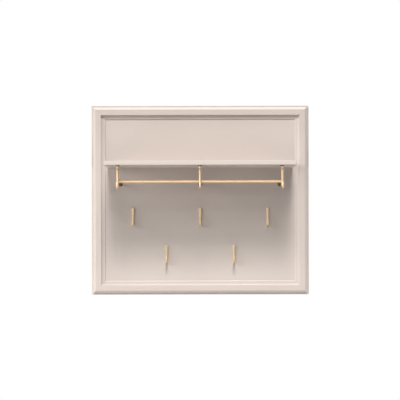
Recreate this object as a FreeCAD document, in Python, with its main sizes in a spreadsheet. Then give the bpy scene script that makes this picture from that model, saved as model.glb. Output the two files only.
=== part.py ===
import FreeCAD, Part
import math
import os
import re
import Sketcher
from enum import IntEnum, auto
from FreeCAD import Rotation, Vector

# A painted wall shelf with hooks, in millimetres. A board carries a mitred moulding round its front
# edge, one deep shelf, a hanging rail on three hooked brackets below it and two rows of coat hooks.
# X runs to the right, Y towards the wall and Z up. The origin is the centre of the board's back face,
# the face that lies against the wall.

# The driving sizes. Each one becomes a cell of the sheet under its own name.
SIZES = {
    # Board, and the strip of it that shows outside the moulding
    "panel_width": 1000.0,
    "panel_height": 870.0,
    "panel_thickness": 16.0,
    "panel_margin": 8.5,
    "panel_edge_radius": 1.0,
    # Moulding, from its outer edge inwards: a foot, a bevel, a flat, a lip, a cove, a bead and an ovolo
    "moulding_height": 11.5,
    "foot_height": 7.5,
    "bevel_width": 10.0,
    "flat_width": 22.5,
    "lip_height": 6.5,
    "cove_width": 14.5,
    "cove_radius": 45.0,
    "bead_height": 3.0,
    "bead_width": 4.7,
    "ovolo_width": 3.0,
    # Shelf
    "shelf_thickness": 18.0,
    "shelf_depth": 220.0,
    "shelf_end_gap": 10.8,
    "shelf_edge_radius": 1.5,
    # Brackets: the inset is from the shelf's front edge, and drops are from its underside
    "bracket_inset": 35.0,
    "rod_diameter": 11.0,
    "bend_radius": 13.0,
    "bend_drop": 86.5,
    "tip_rise": 4.0,
    "collar_diameter": 13.4,
    "collar_length": 11.5,
    "collar_bevel": 0.8,
    "flange_diameter": 19.0,
    "flange_thickness": 4.0,
    "flange_rim": 0.8,
    "groove_width": 3.5,
    "groove_depth": 1.5,
    # Arms that run from the stems to the board, and the rosettes that cover their ends
    "arm_diameter": 10.0,
    "arm_drop": 5.4,
    "spigot_diameter": 5.0,
    "spigot_length": 4.5,
    "rosette_diameter": 17.5,
    "rosette_thickness": 4.0,
    "rosette_bevel": 1.2,
    # Hanging rail, which lies in saddles cut in the arms, just behind the stems
    "rail_diameter": 12.0,
    "rail_wall": 1.2,
    "rail_drop": 72.0,
    "rail_gap": 2.0,
    "rail_overhang": 5.0,
    "cap_thickness": 1.5,
    "cap_bevel": 0.8,
    "cap_plug_length": 8.0,
    # Coat hooks: a flat strap against the board, bent forward and up at its foot
    "hook_height": 86.0,
    "hook_top_width": 11.5,
    "hook_stem_width": 8.0,
    "hook_taper_length": 36.0,
    "hook_thickness": 6.0,
    "hook_opening": 20.0,
    "hook_tip_height": 34.0,
    "hook_edge_bevel": 1.3,
    "hook_screw_inset": 11.0,
    "hook_screw_pitch": 28.0,
    # Screws that hold the hooks, through the board from behind
    "hook_screw_diameter": 4.0,
    "hook_screw_length": 20.0,
    "hook_head_diameter": 7.5,
    # Screws that hold the arms, through the board from behind
    "arm_screw_diameter": 5.0,
    "arm_screw_length": 30.0,
    "arm_head_diameter": 9.2,
    # Studs between the stems and the shelf
    "stud_diameter": 6.0,
    "stud_in_shelf": 13.0,
    "stud_in_stem": 10.0,
    # Grub screws that hold the rail down in its saddles
    "grub_diameter": 4.0,
    "grub_recess": 0.4,
    # Dowels and screws between the board and the shelf
    "dowel_diameter": 8.0,
    "dowel_in_board": 10.0,
    "dowel_in_shelf": 20.0,
    "shelf_screw_diameter": 5.0,
    "shelf_screw_length": 60.0,
    "shelf_head_diameter": 9.5,
    # Keyhole plates let into the back, and the room behind them for the heads of the wall screws
    "plate_width": 22.0,
    "plate_height": 60.0,
    "plate_thickness": 2.0,
    "plate_corner_radius": 4.0,
    "plate_drop": 70.0,
    "keyhole_entry": 10.0,
    "keyhole_slot": 4.8,
    "keyhole_travel": 12.0,
    "keyhole_relief_width": 14.0,
    "keyhole_relief_depth": 8.0,
    "plate_screw_pitch": 44.0,
    "plate_screw_diameter": 3.5,
    "plate_screw_length": 12.0,
    "plate_head_diameter": 6.4,
    # Clearances, and how far a cut runs past what it cuts
    "screw_clearance": 0.2,
    "slip_clearance": 0.1,
    "recess_clearance": 0.3,
    "hole_end_clearance": 1.0,
    "cut_overrun": 4.0,
}

# Places on the board, from its middle, as shares of its width or height. The brackets' is a share of
# the shelf's length.
SHARES = {
    "shelf_share": 0.1725,
    "bracket_share": 0.43,
    "hook_share": 0.31,
    "upper_hook_share": 0.0415,
    "lower_hook_share": 0.2405,
    "plate_share": 0.4,
}

# Places along the shelf's back edge, as shares of its length
DOWEL_SHARES = (-0.42, -0.15, 0.15, 0.42)
SHELF_SCREW_SHARES = (-0.3, 0.0, 0.3)

# Sizes and places worked out from the driving ones
MOULDING_WIDTH = "(bevel_width + flat_width + cove_width + bead_width + ovolo_width)"
SHELF_LENGTH = f"(panel_width - 2 * (panel_margin + {MOULDING_WIDTH} + shelf_end_gap))"
SHELF_HEIGHT = "(shelf_share * panel_height)"
SHELF_MIDDLE = f"({SHELF_HEIGHT} + shelf_thickness / 2)"
BRACKET_PLACE = f"(bracket_share * {SHELF_LENGTH})"
BRACKET_REACH = "(shelf_depth - bracket_inset)"
STEM_PLACE = f"(-panel_thickness - {BRACKET_REACH})"
RAIL_SETBACK = "(rod_diameter / 2 + rail_gap + rail_diameter / 2)"
RAIL_HEIGHT = f"({SHELF_HEIGHT} - rail_drop)"
ARM_HEIGHT = f"({RAIL_HEIGHT} - arm_drop)"
RAIL_REACH = f"({BRACKET_PLACE} + rail_overhang - cap_thickness)"
HOOK_PLACE = "(hook_share * panel_width)"
PLATE_PLACE = "(plate_share * panel_width)"
HOOK_OUTER_RADIUS = "(hook_opening / 2 + hook_thickness)"
PLATE_HEIGHT = "(panel_height / 2 - plate_drop)"
COUNTERSINK_ANGLE = 90.0
QUARTER_TURN_ANGLE = 90.0
FULL_TURN_ANGLE = 360.0

# How far apart two places may lie and still count as the same
SAME_PLACE = 1e-4

NAME_PATTERN = re.compile(r"[a-z]+(?:_[a-z]+)+")


class Point(IntEnum):
    """The points of a sketch element, as the sketcher counts them."""

    START = auto()
    END = auto()
    CENTRE = auto()


document = FreeCAD.newDocument("wall_shelf_with_hooks")
sheet = document.addObject("Spreadsheet::Sheet", "sizes")
for row, (alias, number) in enumerate((SIZES | SHARES).items(), start=1):
    sheet.set(f"A{row}", alias)
    sheet.set(f"B{row}", str(number))
    sheet.setAlias(f"B{row}", alias)
document.recompute()


def cell(expression):
    """Return the expression with each size named by its cell."""
    return NAME_PATTERN.sub(r"sizes.\g<0>", expression)


def size(expression):
    """Return what the expression comes to."""
    return float(sheet.evalExpression(cell(expression)))


def bind(owner, prop, expression):
    """Tie a property to an expression of sizes."""
    owner.setExpression(prop, cell(expression))


# Sketches


def new_body(label, across="0", depth="0", up="0", turn=0):
    """Start a piece with its own origin, turned about the axis towards the wall."""
    body = document.addObject("PartDesign::Body", label)
    body.Label = label
    body.Placement.Rotation = Rotation(Vector(0, 1, 0), turn)
    for axis, place in (("x", across), ("y", depth), ("z", up)):
        bind(body, f"Placement.Base.{axis}", place)
    return body


def new_sketch(body, name, role, offset=None):
    """Lay a sketch on one of the piece's own planes, or at an offset along its normal."""
    sketch = body.newObject("Sketcher::SketchObject", name)
    base = next(feature for feature in body.Origin.OriginFeatures if feature.Role == role)
    sketch.AttachmentSupport = [(base, "")]
    sketch.MapMode = "FlatFace"
    if offset is not None:
        bind(sketch, "AttachmentOffset.Base.z", offset)
    return sketch


def constrain(sketch, constraint, expression):
    """Add a constraint and tie its value to the expression, if that holds a size."""
    index = sketch.addConstraint(constraint)
    if NAME_PATTERN.search(expression):
        bind(sketch, f"Constraints[{index}]", expression)


def locate(sketch, element, point, across, up):
    """Tie a point of an element to its place in the sketch."""
    for kind, place in (("DistanceX", across), ("DistanceY", up)):
        constrain(sketch, Sketcher.Constraint(kind, element, point, size(place)), place)


def add_circle(sketch, across, up, diameter):
    """Draw a circle of a given diameter about a place."""
    middle = Vector(size(across), size(up), 0)
    circle = Part.Circle(middle, Vector(0, 0, 1), size(diameter) / 2)
    element = sketch.addGeometry(circle, False)
    locate(sketch, element, Point.CENTRE, across, up)
    constrain(sketch, Sketcher.Constraint("Diameter", element, size(diameter)), diameter)


def arc_between(first, last, centre, turn):
    """Return an arc about a centre, and the end of it that comes first on the way round."""
    radius = first.distanceToPoint(centre)
    angles = [math.atan2(point.y - centre.y, point.x - centre.x) for point in (first, last)]
    if turn < 0:
        angles.reverse()
    circle = Part.Circle(centre, Vector(0, 0, 1), radius)
    return Part.ArcOfCircle(circle, *angles), Point.START if turn > 0 else Point.END


def add_outline(sketch, corners, closed=True):
    """Draw a line through corners. A corner is its two places, and before a round stretch it also
    has the two places of the arc's centre and the turn: 1 anticlockwise, -1 clockwise."""
    points = [Vector(size(corner[0]), size(corner[1]), 0) for corner in corners]
    count = len(corners) if closed else len(corners) - 1
    starts = []
    for index in range(count):
        first = points[index]
        last = points[(index + 1) % len(points)]
        if len(corners[index]) == 2:
            element = sketch.addGeometry(Part.LineSegment(first, last), False)
            starts.append((element, Point.START))
            continue
        centre = Vector(size(corners[index][2]), size(corners[index][3]), 0)
        arc, begin = arc_between(first, last, centre, corners[index][4])
        element = sketch.addGeometry(arc, False)
        starts.append((element, begin))
    for index, (element, begin) in enumerate(starts):
        locate(sketch, element, begin, corners[index][0], corners[index][1])
        finish = Point.END if begin == Point.START else Point.START
        if closed or index + 1 < count:
            following, opening = starts[(index + 1) % count]
            sketch.addConstraint(Sketcher.Constraint("Coincident", element, finish, following, opening))
        else:
            locate(sketch, element, finish, corners[-1][0], corners[-1][1])
        if len(corners[index]) > 2:
            fix_centre(sketch, element, corners[index], points[index], points[(index + 1) % len(points)])


def fix_centre(sketch, element, corner, first, last):
    """Hold an arc's centre along the line on which it can still slide between its two ends."""
    chord = last - first
    kind, place = ("DistanceX", corner[2]) if abs(chord.y) > abs(chord.x) else ("DistanceY", corner[3])
    constrain(sketch, Sketcher.Constraint(kind, element, Point.CENTRE, size(place)), place)


def add_rectangle(sketch, left, low, right, high):
    """Draw a rectangle from its lower left to its upper right corner."""
    add_outline(sketch, [(left, low), (right, low), (right, high), (left, high)])


# Features


def volume(body):
    """Return the volume of the piece so far."""
    return body.Shape.Volume if body.Tip is not None and not body.Shape.isNull() else 0.0


def add_feature(body, kind, name, **settings):
    """Add a feature, give it its settings and recompute."""
    feature = body.newObject(f"PartDesign::{kind}", name)
    for prop, value in settings.items():
        setattr(feature, prop, value)
    document.recompute()
    return feature


def check_change(body, name, before, grows):
    """Stop if a feature didn't add or take away what it should."""
    change = volume(body) - before
    if change <= 0 if grows else change >= 0:
        raise RuntimeError(f"{body.Label}: {name} changed the volume by {change:.3f}")


def pad(body, sketch, name, length, midplane=False, taper=0.0):
    """Raise a sketch into a solid along its normal, or to both sides of it."""
    before = volume(body)
    feature = add_feature(body, "Pad", name, Profile=sketch, Midplane=midplane)
    bind(feature, "Length", length)
    feature.TaperAngle = taper
    document.recompute()
    check_change(body, name, before, True)


def pocket(body, sketch, name, length=None, reverse=False, midplane=False):
    """Cut a sketch into the piece against its normal, or along it, to a depth or right through."""
    before = volume(body)
    feature = add_feature(body, "Pocket", name, Profile=sketch, Reversed=reverse, Midplane=midplane)
    if length is None:
        feature.Type = "ThroughAll"
    else:
        bind(feature, "Length", length)
    document.recompute()
    check_change(body, name, before, False)


def turned(body, sketch, name, cut=False):
    """Turn a sketch about its own upright axis, to add a round form or to cut a groove."""
    before = volume(body)
    axis = (sketch, ["V_Axis"])
    kind = "Groove" if cut else "Revolution"
    add_feature(body, kind, name, Profile=sketch, ReferenceAxis=axis, Angle=FULL_TURN_ANGLE)
    check_change(body, name, before, not cut)


def drill(body, name, places, diameter, depth=None, head=None):
    """Drill holes from the back of a piece towards its front, sunk for a screw's head if it has one."""
    before = volume(body)
    sketch = new_sketch(body, f"{name}_places", "XZ_Plane")
    for across, up in places:
        add_circle(sketch, across, up, diameter)
    document.recompute()
    hole = add_feature(body, "Hole", name, Profile=sketch, Reversed=True)
    bind(hole, "Diameter", diameter)
    hole.DepthType = "ThroughAll" if depth is None else "Dimension"
    if depth is not None:
        bind(hole, "Depth", depth)
        hole.DrillPoint = "Flat"
    if head is not None:
        hole.HoleCutType = "Countersink"
        hole.HoleCutCountersinkAngle = COUNTERSINK_ANGLE
        bind(hole, "HoleCutDiameter", head)
    document.recompute()
    check_change(body, name, before, False)


def drill_for_screws(body, screw, head, places):
    """Drill the holes that let a kind of screw through, with room for its head."""
    clearance = "2 * screw_clearance"
    diameter = f"{screw}_diameter + {clearance}"
    drill(body, f"{screw}_holes", places, diameter, head=f"{head}_diameter + {clearance}")


def drill_for_bite(body, screw, places):
    """Drill the holes in a piece on the board's front that a kind of screw bites in."""
    bite = f"{screw}_length - panel_thickness + hole_end_clearance"
    drill(body, f"{screw}_holes", places, f"{screw}_diameter + 2 * slip_clearance", depth=bite)


def soften(body, name, amount, chosen, kind="Fillet"):
    """Round or chamfer the edges of the piece that a test picks."""
    base = body.Tip
    edges = [f"Edge{index}" for index, edge in enumerate(base.Shape.Edges, start=1) if chosen(edge)]
    before = volume(body)
    feature = add_feature(body, kind, name, Base=(base, edges))
    bind(feature, "Radius" if kind == "Fillet" else "Size", amount)
    document.recompute()
    check_change(body, name, before, False)


def lies_at(edge, axis, place):
    """Say whether an edge lies wholly at one place along an axis of its piece."""
    low = getattr(edge.BoundBox, f"{axis}Min")
    high = getattr(edge.BoundBox, f"{axis}Max")
    return max(abs(low - place), abs(high - place)) < SAME_PLACE


# Places shared by more than one piece


def bracket_places():
    """Return each bracket's side and how far it stands from the middle."""
    return [("left", f"-{BRACKET_PLACE}"), ("middle", "0"), ("right", BRACKET_PLACE)]


def hook_places():
    """Return each hook's name, how far it is from the middle, and the height of its top."""
    upper = [("upper_left", f"-{HOOK_PLACE}"), ("upper_middle", "0"), ("upper_right", HOOK_PLACE)]
    lower = [("lower_left", f"-{HOOK_PLACE} / 2"), ("lower_right", f"{HOOK_PLACE} / 2")]
    places = [(name, across, "-upper_hook_share * panel_height") for name, across in upper]
    return places + [(name, across, "-lower_hook_share * panel_height") for name, across in lower]


def hook_screw_places():
    """Return the places of the hooks' screws on the board, two to a hook."""
    drops = ("hook_screw_inset", "(hook_screw_inset + hook_screw_pitch)")
    return [(across, f"{top} - {drop}") for _, across, top in hook_places() for drop in drops]


def arm_places():
    """Return the places of the arms on the board."""
    return [(across, ARM_HEIGHT) for _, across in bracket_places()]


def shelf_screw_places(height):
    """Return the places of the screws into the shelf's back edge."""
    return [(f"{share} * {SHELF_LENGTH}", height) for share in SHELF_SCREW_SHARES]


def dowel_places(height):
    """Return the places of the dowels in the shelf's back edge."""
    return [(f"{share} * {SHELF_LENGTH}", height) for share in DOWEL_SHARES]


def plate_places():
    """Return the side and the place of each keyhole plate."""
    return [("left", f"-{PLATE_PLACE}"), ("right", PLATE_PLACE)]


def plate_screw_places():
    """Return the places of the screws that hold the keyhole plates."""
    return [
        (across, f"{PLATE_HEIGHT} {sign} plate_screw_pitch / 2")
        for _, across in plate_places()
        for sign in ("+", "-")
    ]


# The board and what is cut in it


def back_panel():
    """Build the board, with every hole and recess that its fittings need."""
    body = new_body("back_panel")
    sketch = new_sketch(body, "board_outline", "XZ_Plane")
    add_rectangle(sketch, "-panel_width / 2", "-panel_height / 2", "panel_width / 2", "panel_height / 2")
    pad(body, sketch, "board", "panel_thickness")
    front = -size("panel_thickness")
    soften(body, "eased_front", "panel_edge_radius", lambda edge: lies_at(edge, "Y", front))
    drill_for_screws(body, "hook_screw", "hook_head", hook_screw_places())
    drill_for_screws(body, "arm_screw", "arm_head", arm_places())
    drill_for_screws(body, "shelf_screw", "shelf_head", shelf_screw_places(SHELF_MIDDLE))
    sketch = new_sketch(body, "dowel_hole_places", "XZ_Plane", offset="panel_thickness")
    for across, up in dowel_places(SHELF_MIDDLE):
        add_circle(sketch, across, up, "dowel_diameter + 2 * slip_clearance")
    pocket(body, sketch, "dowel_holes", "dowel_in_board + hole_end_clearance")
    cut_plate_recesses(body)


def cut_plate_recesses(body):
    """Let the keyhole plates into the board's back, and leave room behind them."""
    recess = new_sketch(body, "plate_recess_outlines", "XZ_Plane")
    relief = new_sketch(body, "keyhole_relief_outlines", "XZ_Plane")
    for _, across in plate_places():
        half_width = "(plate_width / 2 + recess_clearance)"
        half_height = "(plate_height / 2 + recess_clearance)"
        add_rectangle(
            recess,
            f"{across} - {half_width}",
            f"{PLATE_HEIGHT} - {half_height}",
            f"{across} + {half_width}",
            f"{PLATE_HEIGHT} + {half_height}",
        )
        low = f"{PLATE_HEIGHT} - keyhole_travel / 2 - keyhole_relief_width / 2"
        high = f"{PLATE_HEIGHT} + keyhole_travel / 2 + keyhole_relief_width / 2"
        add_rectangle(
            relief,
            f"{across} - keyhole_relief_width / 2",
            low,
            f"{across} + keyhole_relief_width / 2",
            high,
        )
    pocket(body, recess, "plate_recesses", "plate_thickness", reverse=True)
    pocket(body, relief, "keyhole_reliefs", "plate_thickness + keyhole_relief_depth", reverse=True)
    drill(
        body,
        "plate_screw_holes",
        plate_screw_places(),
        "plate_screw_diameter + 2 * slip_clearance",
        depth="plate_screw_length + hole_end_clearance",
    )


def moulding(label, length, turn, across, up):
    """Build one side of the moulding: its profile, drawn out and mitred at both ends.

    The piece's own origin is the middle of its outer edge, on the board. Its profile runs inwards
    along -Z and stands forward along -Y.
    """
    body = new_body(label, across, "-panel_thickness", up, turn)
    profile = new_sketch(body, "profile", "YZ_Plane")
    flat_end = "-(bevel_width + flat_width)"
    cove_end = "-(bevel_width + flat_width + cove_width)"
    bead_end = "-(bevel_width + flat_width + cove_width + bead_width)"
    inner = f"-{MOULDING_WIDTH}"
    cove_rise = "(moulding_height - lip_height - bead_height)"
    chord_half = f"(sqrt({cove_rise} * {cove_rise} + cove_width * cove_width) / 2)"
    centre_reach = f"(sqrt(cove_radius * cove_radius - {chord_half} * {chord_half}) / (2 * {chord_half}))"
    cove_centre = (
        f"(-(moulding_height - lip_height + bead_height) / 2 - {centre_reach} * cove_width)",
        f"(-(bevel_width + flat_width + cove_width / 2) - {centre_reach} * {cove_rise})",
    )
    add_outline(
        profile,
        [
            ("0", "0"),
            ("-foot_height", "0"),
            ("-moulding_height", "-bevel_width"),
            ("-moulding_height", flat_end),
            ("-(moulding_height - lip_height)", flat_end, *cove_centre, -1),
            ("-bead_height", cove_end),
            ("-bead_height", bead_end, "0", bead_end, 1),
            ("0", inner),
        ],
    )
    pad(body, profile, "drawn_profile", length, midplane=True)
    mitres = new_sketch(body, "mitre_outlines", "XZ_Plane")
    low = f"(-{MOULDING_WIDTH} - cut_overrun)"
    for side in ("", "-"):
        end = f"{side}({length} / 2)"
        inside = f"{side}({length} / 2 - {MOULDING_WIDTH} - cut_overrun)"
        beyond = f"{side}({length} / 2 + cut_overrun)"
        raised = "cut_overrun"
        add_outline(mitres, [(beyond, raised), (end, "0"), (inside, low), (beyond, low)])
    pocket(body, mitres, "mitres", reverse=True)


def mouldings():
    """Build the four sides of the moulding."""
    wide = "(panel_width - 2 * panel_margin)"
    tall = "(panel_height - 2 * panel_margin)"
    moulding("moulding_top", wide, 0, "0", f"{tall} / 2")
    moulding("moulding_bottom", wide, 2 * QUARTER_TURN_ANGLE, "0", f"-{tall} / 2")
    moulding("moulding_left", tall, -QUARTER_TURN_ANGLE, f"-{wide} / 2", "0")
    moulding("moulding_right", tall, QUARTER_TURN_ANGLE, f"{wide} / 2", "0")


def shelf_board():
    """Build the shelf, with the holes in its back edge and underside."""
    body = new_body("shelf_board", depth="-panel_thickness", up=SHELF_HEIGHT)
    sketch = new_sketch(body, "shelf_outline", "XY_Plane")
    add_rectangle(sketch, f"-{SHELF_LENGTH} / 2", "-shelf_depth", f"{SHELF_LENGTH} / 2", "0")
    pad(body, sketch, "board", "shelf_thickness")
    front = -size("shelf_depth")
    soften(body, "eased_front", "shelf_edge_radius", lambda edge: lies_at(edge, "Y", front))
    drill(
        body,
        "dowel_holes",
        dowel_places("shelf_thickness / 2"),
        "dowel_diameter + 2 * slip_clearance",
        depth="dowel_in_shelf + hole_end_clearance",
    )
    drill_for_bite(body, "shelf_screw", shelf_screw_places("shelf_thickness / 2"))
    sketch = new_sketch(body, "stud_hole_places", "XY_Plane")
    for _, across in bracket_places():
        add_circle(sketch, across, f"-{BRACKET_REACH}", "stud_diameter + 2 * slip_clearance")
    pocket(body, sketch, "stud_holes", "stud_in_shelf + hole_end_clearance", reverse=True)


# Brackets, arms and rail


def bracket_flange(side, across):
    """Build the turned flange and collar that seat a stem against the shelf."""
    body = new_body(f"bracket_flange_{side}", across, STEM_PLACE, SHELF_HEIGHT)
    sketch = new_sketch(body, "section", "XZ_Plane")
    bore = "(rod_diameter / 2 + slip_clearance)"
    stud = "(stud_diameter / 2 + slip_clearance)"
    foot = "(-flange_thickness - collar_length)"
    add_outline(
        sketch,
        [
            (stud, "0"),
            (stud, "-flange_thickness"),
            (bore, "-flange_thickness"),
            (bore, foot),
            ("collar_diameter / 2 - collar_bevel", foot),
            ("collar_diameter / 2", f"{foot} + collar_bevel"),
            ("collar_diameter / 2", "-flange_thickness"),
            ("flange_diameter / 2", "-flange_rim"),
            ("flange_diameter / 2", "0"),
        ],
    )
    turned(body, sketch, "turned_flange")


def bracket_stem(side, across):
    """Build a stem: a round rod that hangs from the shelf and bends forward and up into a hook.

    The piece's own origin is on the rod's axis, at the shelf's underside.
    """
    body = new_body(f"bracket_stem_{side}", across, STEM_PLACE, SHELF_HEIGHT)
    spine = new_sketch(body, "rod_line", "YZ_Plane")
    line = [
        ("0", "-flange_thickness"),
        ("0", "-bend_drop", "-bend_radius", "-bend_drop", -1),
        ("-2 * bend_radius", "-bend_drop"),
        ("-2 * bend_radius", "-bend_drop + tip_rise"),
    ]
    add_outline(spine, line, closed=False)
    section = new_sketch(body, "rod_section", "XY_Plane", offset="-flange_thickness")
    add_circle(section, "0", "0", "rod_diameter")
    edges = [f"Edge{index}" for index in range(1, len(line))]
    add_feature(body, "AdditivePipe", "bent_rod", Profile=section, Spine=(spine, edges))
    check_change(body, "bent_rod", 0.0, True)
    before = volume(body)
    tip = add_feature(body, "AdditiveSphere", "round_tip")
    bind(tip, "Radius", "rod_diameter / 2")
    bind(tip, "Placement.Base.y", "-2 * bend_radius")
    bind(tip, "Placement.Base.z", "-bend_drop + tip_rise")
    document.recompute()
    check_change(body, "round_tip", before, True)
    groove = new_sketch(body, "groove_section", "XZ_Plane")
    collar_foot = "(-flange_thickness - collar_length)"
    add_rectangle(
        groove,
        "rod_diameter / 2 - groove_depth",
        f"{collar_foot} - groove_width",
        "rod_diameter / 2 + cut_overrun",
        collar_foot,
    )
    turned(body, groove, "groove", cut=True)
    stud = new_sketch(body, "stud_hole_place", "XY_Plane", offset="-flange_thickness")
    add_circle(stud, "0", "0", "stud_diameter + 2 * slip_clearance")
    pocket(body, stud, "stud_hole", "stud_in_stem + hole_end_clearance")
    spigot = new_sketch(body, "spigot_hole_place", "XZ_Plane")
    add_circle(spigot, "0", "-rail_drop - arm_drop", "spigot_diameter + 2 * slip_clearance")
    pocket(body, spigot, "spigot_hole", "rod_diameter / 2 + cut_overrun")


def bracket_arm(side, across):
    """Build an arm: a round bar from the board to the stem, with a saddle for the rail.

    The piece's own origin is the middle of its end on the board.
    """
    body = new_body(f"bracket_arm_{side}", across, "-panel_thickness", ARM_HEIGHT)
    section = new_sketch(body, "bar_section", "XZ_Plane")
    add_circle(section, "0", "0", "arm_diameter")
    pad(body, section, "bar", BRACKET_REACH)
    cope = new_sketch(body, "cope_outline", "XY_Plane")
    add_circle(cope, "0", f"-{BRACKET_REACH}", "rod_diameter + 2 * slip_clearance")
    pocket(body, cope, "coped_end", midplane=True)
    saddle = new_sketch(body, "saddle_outline", "YZ_Plane")
    middle = f"(-{BRACKET_REACH} + {RAIL_SETBACK})"
    half = "(rail_diameter / 2 + slip_clearance)"
    add_outline(
        saddle,
        [
            (f"{middle} - {half}", "arm_drop", middle, "arm_drop", 1),
            (f"{middle} + {half}", "arm_drop"),
            (f"{middle} + {half}", "arm_drop + cut_overrun"),
            (f"{middle} - {half}", "arm_drop + cut_overrun"),
        ],
    )
    pocket(body, saddle, "saddle", midplane=True)
    grub = new_sketch(body, "grub_hole_place", "XY_Plane", offset="-arm_diameter / 2")
    add_circle(grub, "0", middle, "grub_diameter + 2 * slip_clearance")
    pocket(body, grub, "grub_hole", "arm_diameter / 2", reverse=True)
    drill_for_bite(body, "arm_screw", [("0", "0")])
    spigot = new_sketch(body, "spigot_section", "XZ_Plane", offset=f"-{middle} + {half}")
    add_circle(spigot, "0", "0", "spigot_diameter")
    pad(body, spigot, "spigot", f"{RAIL_SETBACK} - {half} - rod_diameter / 2 + spigot_length")


def wall_rosette(side, across):
    """Build the turned ring that covers an arm's end on the board."""
    body = new_body(f"wall_rosette_{side}", across, "-panel_thickness", ARM_HEIGHT)
    sketch = new_sketch(body, "ring_outline", "XZ_Plane")
    add_circle(sketch, "0", "0", "rosette_diameter")
    add_circle(sketch, "0", "0", "arm_diameter + 2 * slip_clearance")
    pad(body, sketch, "ring", "rosette_thickness")
    front = -size("rosette_thickness")
    half = size("rosette_diameter / 2")

    def on_rim(edge):
        return lies_at(edge, "Y", front) and abs(edge.BoundBox.ZMax - half) < SAME_PLACE

    soften(body, "eased_rim", "rosette_bevel", on_rim, "Chamfer")


def hanging_rail():
    """Build the rail, a round tube that lies in the saddles behind the stems."""
    place = f"{STEM_PLACE} + {RAIL_SETBACK}"
    body = new_body("hanging_rail", "0", place, RAIL_HEIGHT)
    sketch = new_sketch(body, "tube_section", "YZ_Plane")
    add_circle(sketch, "0", "0", "rail_diameter")
    add_circle(sketch, "0", "0", "rail_diameter - 2 * rail_wall")
    pad(body, sketch, "tube", f"2 * {RAIL_REACH}", midplane=True)


def rail_cap(side, direction):
    """Build a cap that closes one end of the rail: a bevelled disc on a plug."""
    place = f"{STEM_PLACE} + {RAIL_SETBACK}"
    turn = QUARTER_TURN_ANGLE * direction
    body = new_body(f"rail_cap_{side}", f"{direction} * {RAIL_REACH}", place, RAIL_HEIGHT, turn)
    sketch = new_sketch(body, "section", "XZ_Plane")
    plug = "(rail_diameter / 2 - rail_wall - slip_clearance)"
    add_outline(
        sketch,
        [
            ("0", "-cap_plug_length"),
            (plug, "-cap_plug_length"),
            (plug, "0"),
            ("rail_diameter / 2", "0"),
            ("rail_diameter / 2", "cap_thickness - cap_bevel"),
            ("rail_diameter / 2 - cap_bevel", "cap_thickness"),
            ("0", "cap_thickness"),
        ],
    )
    turned(body, sketch, "turned_cap")


# Hooks


def coat_hook(name, across, top):
    """Build a coat hook: its side outline drawn out to its width, tapered, and eased along its edges.

    The piece's own origin is the middle of its top edge, on the board.
    """
    body = new_body(f"hook_{name}", across, "-panel_thickness", top)
    side = new_sketch(body, "side_outline", "YZ_Plane")
    bend = f"(-hook_height + {HOOK_OUTER_RADIUS})"
    tip = "(-hook_height + hook_tip_height - hook_thickness / 2)"
    middle = f"-{HOOK_OUTER_RADIUS}"
    front = f"(-2 * {HOOK_OUTER_RADIUS})"
    add_outline(
        side,
        [
            ("0", "0"),
            ("0", bend, middle, bend, -1),
            (front, bend),
            (front, tip, f"{front} + hook_thickness / 2", tip, -1),
            (f"{front} + hook_thickness", tip),
            (f"{front} + hook_thickness", bend, middle, bend, 1),
            ("-hook_thickness", bend),
            ("-hook_thickness", "0"),
        ],
    )
    pad(body, side, "strap", "hook_top_width", midplane=True)
    taper = new_sketch(body, "taper_outlines", "XZ_Plane")
    for sign in ("", "-"):
        outside = f"{sign}(hook_top_width / 2 + cut_overrun)"
        corner = f"{sign}(hook_top_width / 2)"
        waist = f"{sign}(hook_stem_width / 2)"
        low = "-hook_height - cut_overrun"
        foot = "-hook_taper_length"
        add_outline(taper, [(outside, "0"), (corner, "0"), (waist, foot), (waist, low), (outside, low)])
    pocket(body, taper, "taper", reverse=True)
    soften(body, "eased_edges", "hook_edge_bevel", lambda edge: not touches_back(edge), "Chamfer")
    places = [("0", "-hook_screw_inset"), ("0", "-hook_screw_inset - hook_screw_pitch")]
    drill_for_bite(body, "hook_screw", places)


def runs_through(edge):
    """Say whether an edge runs straight from the back of a piece towards its front."""
    return abs(edge.BoundBox.YLength - edge.Length) < SAME_PLACE


def touches_back(edge):
    """Say whether an edge lies in the plane of the board, or runs forward from it."""
    return abs(edge.BoundBox.YMax) < SAME_PLACE


# Fixings


def rods(label, places, diameter, length, role="XZ_Plane", **origin):
    """Build plain round fixings at the given places, each a solid of its own."""
    body = new_body(label, **origin)
    sketch = new_sketch(body, "places", role)
    for across, up in places:
        add_circle(sketch, across, up, diameter)
    pad(body, sketch, "shanks", length)
    return body


def screws(label, screw, head, places):
    """Build screws whose tapered heads lie flush with the back of the board."""
    body = rods(label, places, f"{screw}_diameter", f"{screw}_length")
    sketch = new_sketch(body, "head_places", "XZ_Plane")
    for across, up in places:
        add_circle(sketch, across, up, f"{head}_diameter")
    pad(body, sketch, "heads", f"({head}_diameter - {screw}_diameter) / 2", taper=-COUNTERSINK_ANGLE / 2)


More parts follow.
